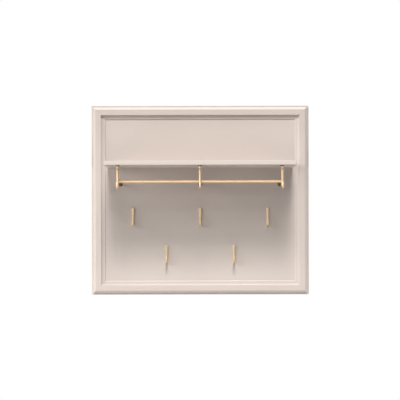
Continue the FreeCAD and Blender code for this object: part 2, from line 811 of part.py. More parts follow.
def keyhole_plate(side, across):
    """Build a keyhole plate, whose round entry runs up into a slot for a wall screw.

    The piece's own origin is its middle, on the board's back face.
    """
    body = new_body(f"hanger_plate_{side}", across, "0", PLATE_HEIGHT)
    sketch = new_sketch(body, "plate_outline", "XZ_Plane")
    half_width = "plate_width / 2"
    half_height = "plate_height / 2"
    add_rectangle(sketch, f"-{half_width}", f"-{half_height}", half_width, half_height)
    pad(body, sketch, "plate", "plate_thickness")
    soften(body, "round_corners", "plate_corner_radius", runs_through)
    entry = new_sketch(body, "entry_outline", "XZ_Plane")
    add_circle(entry, "0", "-keyhole_travel / 2", "keyhole_entry")
    pocket(body, entry, "entry", reverse=True)
    slot = new_sketch(body, "slot_outline", "XZ_Plane")
    reach = "keyhole_travel / 2"
    add_outline(
        slot,
        [
            ("-keyhole_slot / 2", f"-{reach}"),
            ("keyhole_slot / 2", f"-{reach}"),
            ("keyhole_slot / 2", reach, "0", reach, 1),
            ("-keyhole_slot / 2", reach),
        ],
    )
    pocket(body, slot, "slot", reverse=True)
    places = [("0", "plate_screw_pitch / 2"), ("0", "-plate_screw_pitch / 2")]
    drill_for_screws(body, "plate_screw", "plate_head", places)


def fixings():
    """Build the screws, studs and dowels that hold the pieces together."""
    screws("shelf_screws", "shelf_screw", "shelf_head", shelf_screw_places(SHELF_MIDDLE))
    screws("hook_screws", "hook_screw", "hook_head", hook_screw_places())
    screws("arm_screws", "arm_screw", "arm_head", arm_places())
    screws("hanger_plate_screws", "plate_screw", "plate_head", plate_screw_places())
    rods(
        "shelf_dowels",
        dowel_places(SHELF_MIDDLE),
        "dowel_diameter",
        "dowel_in_board + dowel_in_shelf",
        depth="-panel_thickness + dowel_in_board",
    )
    rods(
        "bracket_studs",
        [(across, "0") for _, across in bracket_places()],
        "stud_diameter",
        "flange_thickness + stud_in_shelf + stud_in_stem",
        role="XY_Plane",
        depth=STEM_PLACE,
        up=f"{SHELF_HEIGHT} - flange_thickness - stud_in_stem",
    )
    rods(
        "rail_grub_screws",
        [(across, "0") for _, across in bracket_places()],
        "grub_diameter",
        "arm_diameter / 2 + arm_drop - rail_diameter / 2 - grub_recess",
        role="XY_Plane",
        depth=f"{STEM_PLACE} + {RAIL_SETBACK}",
        up=f"{ARM_HEIGHT} - arm_diameter / 2 + grub_recess",
    )


# The whole object

back_panel()
mouldings()
shelf_board()
for bracket_side, bracket_across in bracket_places():
    bracket_flange(bracket_side, bracket_across)
    bracket_stem(bracket_side, bracket_across)
    bracket_arm(bracket_side, bracket_across)
    wall_rosette(bracket_side, bracket_across)
hanging_rail()
rail_cap("left", -1)
rail_cap("right", 1)
for hook_name, hook_across, hook_top in hook_places():
    coat_hook(hook_name, hook_across, hook_top)
for plate_side, plate_across in plate_places():
    keyhole_plate(plate_side, plate_across)
fixings()
document.recompute()

for item in document.Objects:
    if "Invalid" in item.State or "Error" in item.State:
        raise RuntimeError(f"{item.Label} is {item.State}")

pieces = [item for item in document.Objects if item.TypeId == "PartDesign::Body"]
for piece in pieces:
    if piece.Shape.isNull() or not piece.Shape.isValid():
        raise RuntimeError(f"{piece.Label} has no valid shape")

os.makedirs("parts", exist_ok=True)
for piece in pieces:
    piece.Shape.exportStep(f"parts/{piece.Label}.step")
    print(f"{piece.Label}: {len(piece.Shape.Solids)} solids, {piece.Shape.Volume:.1f} cubic mm")
print(f"{len(pieces)} pieces")
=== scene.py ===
"""Looks, light and camera of the wall shelf with hooks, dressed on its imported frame.

The frame carries every solid. This script gives each of them a finish, puts rounder hooks, smoother
round parts, eased mouldings and screws with cross recesses in place of the plain ones, and sets up
the ground, the floor, the lamps and the camera. Every length is in metres, apart from the camera's
sensor and lens.
"""

import itertools
import logging
import math
from abc import ABC, abstractmethod
from dataclasses import dataclass
from enum import Enum
from typing import Optional, Sequence, Union

import bmesh
import bpy
from bmesh.types import BMesh, BMVert
from bpy.types import ID, Material, Node, NodeSocket, NodeTree, Object
from mathutils import Euler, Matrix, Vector


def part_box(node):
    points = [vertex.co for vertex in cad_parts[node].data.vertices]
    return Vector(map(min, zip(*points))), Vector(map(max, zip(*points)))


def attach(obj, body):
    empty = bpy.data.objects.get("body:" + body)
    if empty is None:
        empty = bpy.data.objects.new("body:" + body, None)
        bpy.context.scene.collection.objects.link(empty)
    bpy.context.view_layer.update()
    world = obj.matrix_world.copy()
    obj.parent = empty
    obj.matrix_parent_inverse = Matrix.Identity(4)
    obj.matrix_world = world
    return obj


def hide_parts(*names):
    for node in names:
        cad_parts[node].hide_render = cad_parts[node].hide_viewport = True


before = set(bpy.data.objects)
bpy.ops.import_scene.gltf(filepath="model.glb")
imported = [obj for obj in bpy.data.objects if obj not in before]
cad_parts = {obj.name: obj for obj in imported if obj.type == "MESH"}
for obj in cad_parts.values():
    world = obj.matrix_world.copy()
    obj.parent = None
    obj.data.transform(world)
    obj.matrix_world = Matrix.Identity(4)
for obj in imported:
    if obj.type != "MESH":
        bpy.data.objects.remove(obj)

LOG = logging.getLogger("wall_shelf")

Triple = tuple[float, float, float]
Colour = Triple
Operand = Union["Field", float, int]

# Half the board's width and half its height: the board stands with its middle at the origin.
HALF_WIDTH, _, HALF_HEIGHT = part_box("back_panel")[1]


def add_object(name: str, data: ID) -> Object:
    """Add an object to the scene.

    Args:
        name: the object's name.
        data: the mesh, curve, light or camera that it shows.

    Returns:
        The object.
    """
    thing = bpy.data.objects.new(name, data)
    bpy.context.scene.collection.objects.link(thing)
    return thing


class Slot(Enum):
    """The material slots for the finer pieces."""

    PAINT = "painted_board"
    BRASS = "satin_brass"
    ZINC = "zinc_steel"


class Axis(Enum):
    """The directions of a surface's own coordinates."""

    X = "X"
    Y = "Y"
    Z = "Z"


# Node trees


class Field:
    """A number that varies over a surface or a curve: one output socket of a node tree."""

    def __init__(self, tree: "Tree", socket: NodeSocket) -> None:
        """Hold an output socket and the tree that it belongs to."""
        self.tree = tree
        self.socket = socket

    def _work_out(self, operation: str, *operands: Operand) -> "Field":
        """Add one Math node.

        Args:
            operation: the node's operation.
            operands: fields or plain numbers, in the node's order.

        Returns:
            The node's output.
        """
        node = self.tree.node("ShaderNodeMath", *operands, operation=operation)
        return Field(self.tree, node.outputs[0])

    def __add__(self, other: Operand) -> "Field":
        """Return the sum of this field and another."""
        return self._work_out("ADD", self, other)

    __radd__ = __add__

    def __sub__(self, other: Operand) -> "Field":
        """Return this field less another."""
        return self._work_out("SUBTRACT", self, other)

    def __rsub__(self, other: Operand) -> "Field":
        """Return a number less this field."""
        return self._work_out("SUBTRACT", other, self)

    def __mul__(self, other: Operand) -> "Field":
        """Return the product of this field and another."""
        return self._work_out("MULTIPLY", self, other)

    __rmul__ = __mul__

    def __truediv__(self, other: Operand) -> "Field":
        """Return this field divided by another."""
        return self._work_out("DIVIDE", self, other)

    def __pow__(self, other: Operand) -> "Field":
        """Return this field raised to a power."""
        return self._work_out("POWER", self, other)

    def __abs__(self) -> "Field":
        """Return the field without its sign."""
        return self._work_out("ABSOLUTE", self)

    def root(self) -> "Field":
        """Return the square root."""
        return self._work_out("SQRT", self)

    def least(self, other: Operand) -> "Field":
        """Return the smaller of this field and another."""
        return self._work_out("MINIMUM", self, other)

    def most(self, other: Operand) -> "Field":
        """Return the larger of this field and another."""
        return self._work_out("MAXIMUM", self, other)

    def step(self, low: float, high: float) -> "Field":
        """Rise smoothly from 0 at one value to 1 at another.

        Args:
            low: the value where the result is 0.
            high: the value where the result is 1. It may be below the first one.

        Returns:
            The field, kept between 0 and 1.
        """
        turn = self if low < high else 0.0 - self
        first, last = (low, high) if low < high else (-low, -high)
        node = self.tree.node("ShaderNodeMapRange", turn, first, last, interpolation_type="SMOOTHSTEP")
        return Field(self.tree, node.outputs[0])

    def within(self, low: float, high: float, blur: float) -> "Field":
        """Return 1 between two values and 0 outside them, blurred at both ends."""
        return self.step(low - blur, low + blur) * self.step(high + blur, high - blur)


class Tree:
    """A node tree with short ways to add and join nodes."""

    def __init__(self, tree: NodeTree) -> None:
        """Hold Blender's own tree."""
        self.tree = tree

    def node(self, kind: str, *first: object, **named: object) -> Node:
        """Add a node, give it its settings and then feed its sockets.

        Args:
            kind: the node's type.
            first: what goes to its first sockets, in their order.
            named: its settings, whose names are in small letters, and what goes to its other
                sockets, by the socket's name with its capitals and with _ for each space.

        Returns:
            The new node.
        """
        node = self.tree.nodes.new(kind)
        for name in filter(str.islower, named):
            setattr(node, name, named[name])
        for socket, source in zip(node.inputs, first):
            self.feed(socket, source)
        for name in itertools.filterfalse(str.islower, named):
            self.feed(node.inputs[name.replace("_", " ")], named[name])
        return node

    def feed(self, socket: NodeSocket, source: object) -> None:
        """Join a socket to a field or an output, or set its value.

        Args:
            socket: the input socket.
            source: a field, an output socket, or a plain value.
        """
        if isinstance(source, Field):
            self.tree.links.new(source.socket, socket)
        elif isinstance(source, NodeSocket):
            self.tree.links.new(source, socket)
        else:
            socket.default_value = source


@dataclass(frozen=True)
class Grain:
    """A noise pattern.

    Args:
        per_metre: how many of its grains fit in a metre.
        detail: how many finer layers it has.
        cut: the values of the noise that become 0 and 1, or None to leave it as it is.
        stretch: factors for the coordinates that it reads.
    """

    per_metre: float
    detail: float
    cut: Optional[tuple[float, float]] = None
    stretch: Triple = (1.0, 1.0, 1.0)


class ShaderTree(Tree):
    """The shader tree of a new material."""

    def __init__(self, name: str) -> None:
        """Start a material with a given name."""
        self.material = bpy.data.materials.new(name)
        self.material.use_nodes = True
        super().__init__(self.material.node_tree)
        self.tree.nodes.clear()
        coordinates = self.node("ShaderNodeTexCoord").outputs
        self.place, self.normal = coordinates["Object"], coordinates["Normal"]

    def close(self, **inputs: object) -> Material:
        """End the tree with a plain shader.

        Args:
            inputs: what goes to the shader's sockets, as for any node.

        Returns:
            The material.
        """
        shader = self.node("ShaderNodeBsdfPrincipled", **inputs)
        self.node("ShaderNodeOutputMaterial", shader.outputs[0])
        return self.material

    def along(self, axis: Axis) -> Field:
        """Return one of the surface's own coordinates."""
        split = self.node("ShaderNodeSeparateXYZ", self.place)
        return Field(self, split.outputs[axis.value])

    def facing(self, axis: Axis) -> Field:
        """Return how far the surface faces along an axis, from -1 to 1."""
        split = self.node("ShaderNodeSeparateXYZ", self.normal)
        return Field(self, split.outputs[axis.value])

    def noise(self, grain: Grain) -> Field:
        """Return a noise pattern between 0 and 1."""
        place = self.node("ShaderNodeVectorMath", self.place, grain.stretch, operation="MULTIPLY")
        node = self.node(
            "ShaderNodeTexNoise", place.outputs[0], Scale=grain.per_metre, Detail=grain.detail
        )
        field = Field(self, node.outputs["Fac"])
        return field.step(*grain.cut) if grain.cut else field

    def about(self, middle: Operand, swing: float, grain: Grain) -> Field:
        """Return a value that swings about a middle.

        Args:
            middle: the value in the middle.
            swing: how far apart the lowest and the highest values are.
            grain: the noise that it follows.

        Returns:
            The value as a field.
        """
        return middle + swing * (self.noise(grain) - 0.5)

    def cells(self, per_metre: float) -> Field:
        """Return a number that is the same all over each of many small cells."""
        node = self.node("ShaderNodeTexVoronoi", self.place, Scale=per_metre, feature="F1")
        split = self.node("ShaderNodeSeparateColor", node.outputs["Color"])
        return Field(self, split.outputs[0])

    def blend(self, share: Operand, first: object, second: object) -> NodeSocket:
        """Blend two colours.

        Args:
            share: how much of the second colour there is.
            first: a colour, or an output that gives one.
            second: a colour, or an output that gives one.

        Returns:
            The output that gives the blend.
        """
        node = self.node("ShaderNodeMix", share, data_type="RGBA")
        for name, colour in (("A_Color", first), ("B_Color", second)):
            socket = next(item for item in node.inputs if item.identifier == name)
            self.feed(socket, (*colour, 1.0) if isinstance(colour, tuple) else colour)
        return next(item for item in node.outputs if item.identifier == "Result_Color")

    def bump(self, height: Field, depth: float, below: Optional[NodeSocket] = None) -> NodeSocket:
        """Raise the surface by a field.

        Args:
            height: the relief, between 0 and 1.
            depth: what a relief of 1 stands for.
            below: another bump that this one lies on.

        Returns:
            The output for the shader's normal.
        """
        node = self.node("ShaderNodeBump", Height=height, Distance=depth)
        if below is not None:
            self.feed(node.inputs["Normal"], below)
        return node.outputs[0]


class GeometryTree(Tree):
    """A Geometry Nodes group with one geometry going in and one coming out."""

    def __init__(self, name: str, **sizes: float) -> None:
        """Start a group.

        Args:
            name: the group's name.
            sizes: its inputs, by name.
        """
        group = bpy.data.node_groups.new(name, "GeometryNodeTree")
        super().__init__(group)
        sockets = group.interface
        sockets.new_socket("Geometry", in_out="INPUT", socket_type="NodeSocketGeometry")
        sockets.new_socket("Geometry", in_out="OUTPUT", socket_type="NodeSocketGeometry")
        self.sizes = sizes
        self.names = {
            size: sockets.new_socket(size, in_out="INPUT", socket_type="NodeSocketFloat").identifier
            for size in sizes
        }
        self.entry = self.node("NodeGroupInput")
        self.exit = self.node("NodeGroupOutput")
        self.flow = self.entry.outputs[0]

    def size(self, name: str) -> Field:
        """Return one of the group's named sizes."""
        return Field(self, self.entry.outputs[name])

    def pass_through(self, kind: str, **inputs: object) -> None:
        """Send the geometry through one more node.

        Args:
            kind: the node's type.
            inputs: what goes to its other sockets, as for any node.
        """
        self.flow = self.node(kind, self.flow, **inputs).outputs[0]

    def close(self, material: Material) -> None:
        """End the group: make its instances real, give it a material and send it out."""
        self.pass_through("GeometryNodeRealizeInstances")
        self.pass_through("GeometryNodeSetMaterial", Material=material)
        self.feed(self.exit.inputs[0], self.flow)

    def run_on(self, source: Object, name: str, material: Material) -> Object:
        """Run the group on an object and keep the result as a plain mesh.

        Args:
            source: the object whose geometry goes in. It is removed afterwards.
            name: the name of the piece that comes out.
            material: the piece's finish.

        Returns:
            The new piece.
        """
        modifier = source.modifiers.new("form", "NODES")
        modifier.node_group = self.tree
        for size, identifier in self.names.items():
            modifier[identifier] = self.sizes[size]
        bpy.context.view_layer.update()
        graph = bpy.context.evaluated_depsgraph_get()
        mesh = bpy.data.meshes.new_from_object(source.evaluated_get(graph), depsgraph=graph)
        mesh.name = name
        mesh.materials.clear()
        mesh.materials.append(material)
        source.modifiers.remove(modifier)
        bpy.data.objects.remove(source)
        return add_object(name, mesh)


# Finishes


class Finish(ABC):
    """How a surface looks.

    In a finish's constants, a SHARE is how far a pattern blends a colour, a DULLING how much it adds
    to the roughness and a DEPTH how high it stands.
    """

    @abstractmethod
    def build(self) -> Material:
        """Return the finish as a material."""


@dataclass(frozen=True)
class SatinPaint(Finish):
    """Satin paint, rolled on fibreboard.

    Args:
        name: the material's name.
        colour: the paint's colour.
        shade: the colour where the coat is a little thicker.
        roughness: how dull the coat is.
        unevenness: how much the dullness swings.
        sheen: how strongly the coat mirrors.
        mitre: where the mitres run, as |x| - |z|, or None on a piece with no mitres.
        seam: the colour of the filler in the mitres.
    """

    name: str = "satin_paint"
    colour: Colour = (0.640, 0.560, 0.508)
    shade: Colour = (0.620, 0.540, 0.488)
    roughness: float = 0.46
    unevenness: float = 0.1
    sheen: float = 0.4
    mitre: Optional[float] = None
    seam: Colour = (0.42, 0.35, 0.31)

    DRIFT = Grain(5.0, 4.0, (0.35, 0.65))
    DRIFT_SHARE = 0.5
    SPECKLE = Grain(900.0, 2.0)
    SPECKLE_SHARE = 0.35
    WAVES = Grain(9.0, 2.0)
    WAVE_DEPTH = 0.0002
    DIMPLES = Grain(900.0, 3.0)
    DIMPLE_DEPTH = 0.00003
    HAZE = Grain(60.0, 3.0)
    SEAM_EDGES = (0.0005, 0.0001)
    SEAM_SHARE = 0.55
    SEAM_DEPTH = 0.0002

    def coat(self, tree: ShaderTree) -> NodeSocket:
        """Return the coat's colour, with its slow drift and fine speckle."""
        drift = tree.noise(self.DRIFT)
        speckle = tree.noise(self.SPECKLE)
        lifted = tree.blend(self.SPECKLE_SHARE * speckle, self.colour, self.shade)
        return tree.blend(self.DRIFT_SHARE * drift, lifted, self.shade)

    def relief(self, tree: ShaderTree) -> NodeSocket:
        """Return the roller's dimples on top of the slow waves of the board."""
        waves = tree.bump(tree.noise(self.WAVES), self.WAVE_DEPTH)
        return tree.bump(tree.noise(self.DIMPLES), self.DIMPLE_DEPTH, below=waves)

    def build(self) -> Material:
        """Return the paint as a material."""
        tree = ShaderTree(self.name)
        colour = self.coat(tree)
        normal = self.relief(tree)
        if self.mitre is not None:
            gap = abs(abs(tree.along(Axis.X)) - abs(tree.along(Axis.Z)) - self.mitre)
            joint = gap.step(*self.SEAM_EDGES)
            colour = tree.blend(self.SEAM_SHARE * joint, colour, self.seam)
            normal = tree.bump(1.0 - joint, self.SEAM_DEPTH, below=normal)
        return tree.close(
            Base_Color=colour,
            Roughness=tree.about(self.roughness, self.unevenness, self.HAZE),
            Normal=normal,
            Specular_IOR_Level=self.sheen,
        )


@dataclass(frozen=True)
class FrontLitPaint(SatinPaint):
    """The shelf's paint, with painted light: a lighter colour on the faces that look forward.

    Args:
        edge: the lighter colour painted on the faces that look forward, a painted highlight.
    """

    name: str = "edged_paint"
    # Painted light: the faces that look forward get this lighter colour.
    edge: Colour = (0.715, 0.626, 0.568)

    FORWARD = (-0.5, -0.8)

    def coat(self, tree: ShaderTree) -> NodeSocket:
        """Return the coat's colour, with painted light where the shelf looks forward."""
        forward = tree.facing(Axis.Y).step(*self.FORWARD)
        return tree.blend(forward, super().coat(tree), self.edge)


@dataclass(frozen=True)
class BackedPaint(SatinPaint):
    """The board's paint, with painted shade above the shelf, which leaves its back raw apart from a
    strip of overspray.

    Args:
        raw: the fibreboard's colour.
        fibre: the colour of its darker fibres.
        chip: the colour of its pale chips.
        overspray: how far the paint strays on to the back.
        shelf_shade: the colour of the painted shade on the board just above the shelf.
        shelf: the height of the shelf's upper face.
        reach: how far above the shelf the painted shade goes.
    """

    name: str = "backed_paint"
    raw: Colour = (0.47, 0.33, 0.21)
    fibre: Colour = (0.33, 0.22, 0.13)
    chip: Colour = (0.62, 0.47, 0.32)
    overspray: float = 0.012
    # Painted shade: the paint is darker just above the shelf.
    shelf_shade: Colour = (0.545, 0.480, 0.437)
    shelf: float = 0.168
    reach: float = 0.16

    SHELF_SHADE_START = 0.02
    BEHIND_SHELF = (-0.02, -0.01)
    STRAY = Grain(55.0, 5.0)
    STRAY_SWING = 0.014
    STRAY_SHARE = 0.3
    BACKWARD = (0.5, 0.7)
    BACK_HALF = (-0.011, -0.0105)
    IN_HOLES = (-0.0001, -0.0006)
    FIBRES = Grain(240.0, 6.0, (0.35, 0.75), (1.0, 1.0, 1.3))
    FIBRE_DEPTH = 0.00012
    CHIPS_PER_METRE = 420.0
    CHIP_CUT = (0.75, 1.0)
    CHIP_SHARE = 0.6
    RAW_DULLING = 0.4

    def coat(self, tree: ShaderTree) -> NodeSocket:
        """Return the coat's colour, with painted shade just above the shelf."""
        rise = tree.along(Axis.Z) - self.shelf
        shelf_shaded = rise.step(self.reach, self.SHELF_SHADE_START) * rise.step(*self.BEHIND_SHELF)
        return tree.blend(shelf_shaded, super().coat(tree), self.shelf_shade)

    def bare(self, tree: ShaderTree) -> Field:
        """Return where the board is raw: on its back and in the holes there."""
        from_side = HALF_WIDTH - abs(tree.along(Axis.X))
        from_edge = from_side.least(HALF_HEIGHT - abs(tree.along(Axis.Z)))
        stray = tree.about(from_edge, self.STRAY_SWING, self.STRAY)
        clean = stray.step(self.STRAY_SHARE * self.overspray, self.overspray)
        depth = tree.along(Axis.Y)
        behind = tree.facing(Axis.Y).step(*self.BACKWARD).least(depth.step(*self.BACK_HALF))
        return behind * clean.most(depth.step(*self.IN_HOLES))

    def build(self) -> Material:
        """Return the paint and the raw back as a material."""
        tree = ShaderTree(self.name)
        bare = self.bare(tree)
        fibres = tree.noise(self.FIBRES)
        chips = self.CHIP_SHARE * tree.cells(self.CHIPS_PER_METRE).step(*self.CHIP_CUT)
        board = tree.blend(chips, tree.blend(fibres, self.raw, self.fibre), self.chip)
        dullness = self.roughness + self.RAW_DULLING * bare
        return tree.close(
            Base_Color=tree.blend(bare, self.coat(tree), board),
            Roughness=tree.about(dullness, self.unevenness, self.HAZE),
            Normal=tree.bump(fibres * bare, self.FIBRE_DEPTH, below=self.relief(tree)),
            Specular_IOR_Level=self.sheen,
        )


@dataclass(frozen=True)
class SatinBrass(Finish):
    """Pale brass with a satin polish.

    Args:
        name: the material's name.
        colour: the bright metal.
        tarnish: the metal where it is a little darker.
        roughness: how dull the polish is.
        stretch: factors that draw the polishing marks out along a piece.
        shade_band: the heights of a band of painted shade, or None.
        band_shade: the colour of the painted shade in that band.
        highlight_below: the height below which the metal is painted lighter, a painted highlight, or
            None.
        polish: the colour of the painted highlight.
        lacquer: how much clear lacquer lies on it.
    """

    name: str = "satin_brass"
    colour: Colour = (0.58, 0.425, 0.262)
    tarnish: Colour = (0.50, 0.355, 0.21)
    roughness: float = 0.40
    stretch: Triple = (1.0, 1.0, 0.06)
    # Painted shade: a dark band between two heights, and its colour.
    shade_band: Optional[tuple[float, float]] = None
    band_shade: Colour = (0.12, 0.075, 0.04)
    # Painted highlight: the metal is lighter below a given height.
    highlight_below: Optional[float] = None
    polish: Colour = (0.69, 0.505, 0.318)
    lacquer: float = 0.12

    CLOUD = Grain(45.0, 4.0, (0.4, 0.75))
    CLOUD_SHARE = 0.3
    CLOUD_DULLING = 0.1
    MARKS_PER_METRE = 2600.0
    MARKS_DETAIL = 2.0
    MARKS_SHARE = 0.15
    MARKS_DULLING = 0.05
    MARKS_DEPTH = 0.000006
    BAND_SHADE_BLUR = 0.0003
    HIGHLIGHT_BLUR = 0.006
    LACQUER_ROUGHNESS = 0.2

    def build(self) -> Material:
        """Return the metal as a material."""
        tree = ShaderTree(self.name)
        cloud = tree.noise(self.CLOUD)
        marks = tree.noise(Grain(self.MARKS_PER_METRE, self.MARKS_DETAIL, stretch=self.stretch))
        dulled = self.CLOUD_SHARE * cloud + self.MARKS_SHARE * marks
        colour = tree.blend(dulled, self.colour, self.tarnish)
        height = tree.along(Axis.Z)
        # Painted shade: the metal is darkened between two heights.
        if self.shade_band is not None:
            band_shaded = height.within(*self.shade_band, self.BAND_SHADE_BLUR)
            colour = tree.blend(band_shaded, colour, self.band_shade)
        # Painted highlight: the metal is lighter below a height.
        if self.highlight_below is not None:
            highlighted = height.step(self.highlight_below + self.HIGHLIGHT_BLUR, self.highlight_below - self.HIGHLIGHT_BLUR)
            colour = tree.blend(highlighted, colour, self.polish)
        return tree.close(
            Base_Color=colour,
            Metallic=1.0,
            Roughness=self.roughness + self.CLOUD_DULLING * cloud + self.MARKS_DULLING * marks,
            Normal=tree.bump(marks, self.MARKS_DEPTH),
            Coat_Weight=self.lacquer,
            Coat_Roughness=self.LACQUER_ROUGHNESS,
        )


@dataclass(frozen=True)
class ZincPlate(Finish):
    """Zinc plating with faint crystals.

    Args:
        name: the material's name.
        colour: the bright plating.
        dull: the plating where it has gone dull.
        roughness: how dull the plating is at its brightest.
    """

    name: str = "zinc_plate"
    colour: Colour = (0.66, 0.67, 0.68)
    dull: Colour = (0.44, 0.45, 0.46)
    roughness: float = 0.3

    CRYSTALS_PER_METRE = 700.0
    CRYSTAL_SHARE = 0.35
    CRYSTAL_DULLING = 0.08
    CRYSTAL_DEPTH = 0.000008
    HAZE = Grain(120.0, 4.0, (0.4, 0.7))
    HAZE_SHARE = 0.4
    HAZE_DULLING = 0.2

    def build(self) -> Material:
        """Return the plating as a material."""
        tree = ShaderTree(self.name)
        crystals = tree.cells(self.CRYSTALS_PER_METRE)
        haze = tree.noise(self.HAZE)
        dulled = self.CRYSTAL_SHARE * crystals + self.HAZE_SHARE * haze
        return tree.close(
            Base_Color=tree.blend(dulled, self.colour, self.dull),
            Metallic=1.0,
            Roughness=self.roughness + self.HAZE_DULLING * haze + self.CRYSTAL_DULLING * crystals,
            Normal=tree.bump(crystals, self.CRYSTAL_DEPTH),
        )


@dataclass(frozen=True)
class BeechWood(Finish):
    """Plain beech, with its grain along the dowel.

    Args:
        name: the material's name.
        colour: the pale wood.
        fleck: the short dark flecks of beech.
        roughness: how dull the wood is where its grain is smoothest.
    """

    name: str = "beech_wood"
    colour: Colour = (0.66, 0.47, 0.29)
    fleck: Colour = (0.42, 0.26, 0.14)
    roughness: float = 0.55

    GRAIN = Grain(1100.0, 4.0, stretch=(1.0, 0.05, 1.0))
    GRAIN_SHARE = 0.3
    GRAIN_DULLING = 0.15
    GRAIN_DEPTH = 0.00004
    FLECKS = Grain(2200.0, 2.0, (0.6, 0.72), (1.0, 0.12, 1.0))
    FLECK_SHARE = 0.6

    def build(self) -> Material:
        """Return the wood as a material."""
        tree = ShaderTree(self.name)
        grain = tree.noise(self.GRAIN)
        flecks = tree.noise(self.FLECKS)
        darkened = (self.GRAIN_SHARE * grain + self.FLECK_SHARE * flecks).least(1.0)
        return tree.close(
            Base_Color=tree.blend(darkened, self.colour, self.fleck),
            Roughness=self.roughness + self.GRAIN_DULLING * grain,
            Normal=tree.bump(grain, self.GRAIN_DEPTH),
        )


# Pieces


@dataclass(frozen=True)
class HookForm:
    """The sizes of a coat hook and its form: a strap that is bent forward and up.

    Its line has points at TOP_STEPS below its top edge, then at every STEM_STEP, then round the bend
    and in the tip. TOP_SHARE and TIP_SHARE are how much of its thickness is left at its two ends.

    Args:
        height: from its top edge to the foot of its bend.
        top_width: its width at the top.
        stem_width: its width below the taper.
        taper: how far down the taper runs.
        thickness: the strap's thickness.
        opening: the gap between the strap and the tip.
        tip_height: from the foot of the bend to the top of the tip.
        edge: the radius of its edges.
    """

    height: float = 0.086
    top_width: float = 0.0115
    stem_width: float = 0.008
    taper: float = 0.036
    thickness: float = 0.006
    opening: float = 0.020
    tip_height: float = 0.034
    edge: float = 0.0019

    TOP_STEPS = (0.0, 0.0003, 0.0007, 0.0014)
    TOP_SHARE = 0.84
    STEM_STEP = 0.004
    STEM_COUNT = 15
    BEND_COUNT = 24
    TIP_COUNT = 8
    TIP_SHARE = 0.06
    EDGE_COUNT = 5

    def line(self, back: float, top: float) -> list[Vector]:
        """Return the middle line of the strap, half way across the board.

        Args:
            back: the face of the board.
            top: the height of the hook's top edge.

        Returns:
            The points, from the top edge to the tip.
        """
        half = self.thickness / 2
        bend = self.opening / 2 + half
        foot = top - self.height + half + bend
        tip = top - self.height + self.tip_height
        front = back - half - 2 * bend
        stem_steps = (self.STEM_STEP * (count + 1) for count in range(self.STEM_COUNT))
        places = [(back - half, top - step) for step in (*self.TOP_STEPS, *stem_steps)]
        for count in range(self.BEND_COUNT + 1):
            angle = math.pi * count / self.BEND_COUNT
            reach = bend * (1.0 - math.cos(angle))
            places.append((back - half - reach, foot - bend * math.sin(angle)))
        places += [(front, (foot + tip - half) / 2), (front, tip - half)]
        for count in range(self.TIP_COUNT):
            rise = half * math.sin(math.pi / 2 * (count + 1) / self.TIP_COUNT)
            places.append((front, tip - half + rise))
        return [Vector((0.0, depth, height)) for depth, height in places]

    def group(self, material: Material) -> GeometryTree:
        """Return the Geometry Nodes group that draws the strap out along its line.

        Args:
            material: the hook's finish.

        Returns:
            The group.
        """
        tree = GeometryTree("strap", Width=self.top_width, Thickness=self.thickness, Edge=self.edge)
        run = Field(tree, tree.node("GeometryNodeSplineParameter").outputs["Length"])
        whole = Field(tree, tree.node("GeometryNodeSplineLength").outputs["Length"])
        left = ((whole - run) / (self.thickness / 2)).least(1.0)
        dome = (1.0 - (1.0 - left) ** 2.0).most(0.0).root().most(self.TIP_SHARE)
        start = (run / self.TOP_STEPS[-1]).least(1.0)
        eased = 1.0 - (1.0 - self.TOP_SHARE) * (1.0 - start) ** 2.0
        tree.pass_through("GeometryNodeSetCurveRadius", Radius=dome.least(eased))
        tree.pass_through("GeometryNodeSetCurveTilt", Tilt=math.pi / 2)
        outline = tree.node(
            "GeometryNodeCurvePrimitiveQuadrilateral",
            Width=tree.size("Thickness"),
            Height=tree.size("Width"),
        )
        rounded = tree.node(
            "GeometryNodeFilletCurve",
            outline.outputs[0],
            Count=self.EDGE_COUNT,
            Radius=tree.size("Edge"),
            mode="POLY",
        )
        tree.pass_through(
            "GeometryNodeCurveToMesh",
            Profile_Curve=rounded.outputs[0],
            Scale=tree.node("GeometryNodeInputRadius").outputs[0],
            Fill_Caps=True,
        )
        tree.close(material)
        return tree


class Piece(ABC):
    """A part of the look that stands for one or more solids of the frame."""

    def __init__(self, material: Material, slot: Slot) -> None:
        """Choose the pieces' finish and the slot for it."""
        self.material = material
        self.slot = slot

    @abstractmethod
    def make(self) -> list[Object]:
        """Build the pieces and return them."""

    def settle(self, piece: Object, *nodes: str) -> Object:
        """Fix a piece to the frame in the place of its solids.

        Args:
            piece: the piece.
            nodes: the solids that it stands for.

        Returns:
            The piece.
        """
        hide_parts(*nodes)
        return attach(piece, "root")


class CoatHooks(Piece):
    """The coat hooks on the board."""

    NODES = (
        "hook_upper_left",
        "hook_upper_middle",
        "hook_upper_right",
        "hook_lower_left",
        "hook_lower_right",
    )

    def __init__(self, material: Material, form: HookForm) -> None:
        """Choose the hooks' finish and their form."""
        super().__init__(material, Slot.BRASS)
        self.form = form

    def make(self) -> list[Object]:
        """Build a hook in the place of each plain one and return them."""
        return [self.hook(node) for node in self.NODES]

    def hook(self, node: str) -> Object:
        """Build the hook that stands for a solid.

        Args:
            node: the solid.

        Returns:
            The hook.
        """
        low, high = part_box(node)
        middle = (low.x + high.x) / 2
        line = self.form.line(high.y, high.z)
        data = bpy.data.curves.new(f"{node}_line", "CURVE")
        data.dimensions = "3D"
        spline = data.splines.new("POLY")
        spline.points.add(len(line) - 1)
        for point, place in zip(spline.points, line):
            point.co = (*place, 1.0)
        source = add_object(data.name, data)
        piece = self.form.group(self.material).run_on(source, f"{node}_strap", self.material)
        for vertex in piece.data.vertices:
            down = min((high.z - vertex.co.z) / self.form.taper, 1.0)
            narrow = 1.0 + down * (self.form.stem_width / self.form.top_width - 1.0)
            vertex.co.x = middle + vertex.co.x * narrow
        piece.data.polygons.foreach_set("use_smooth", [True] * len(piece.data.polygons))
        return self.settle(piece, node)


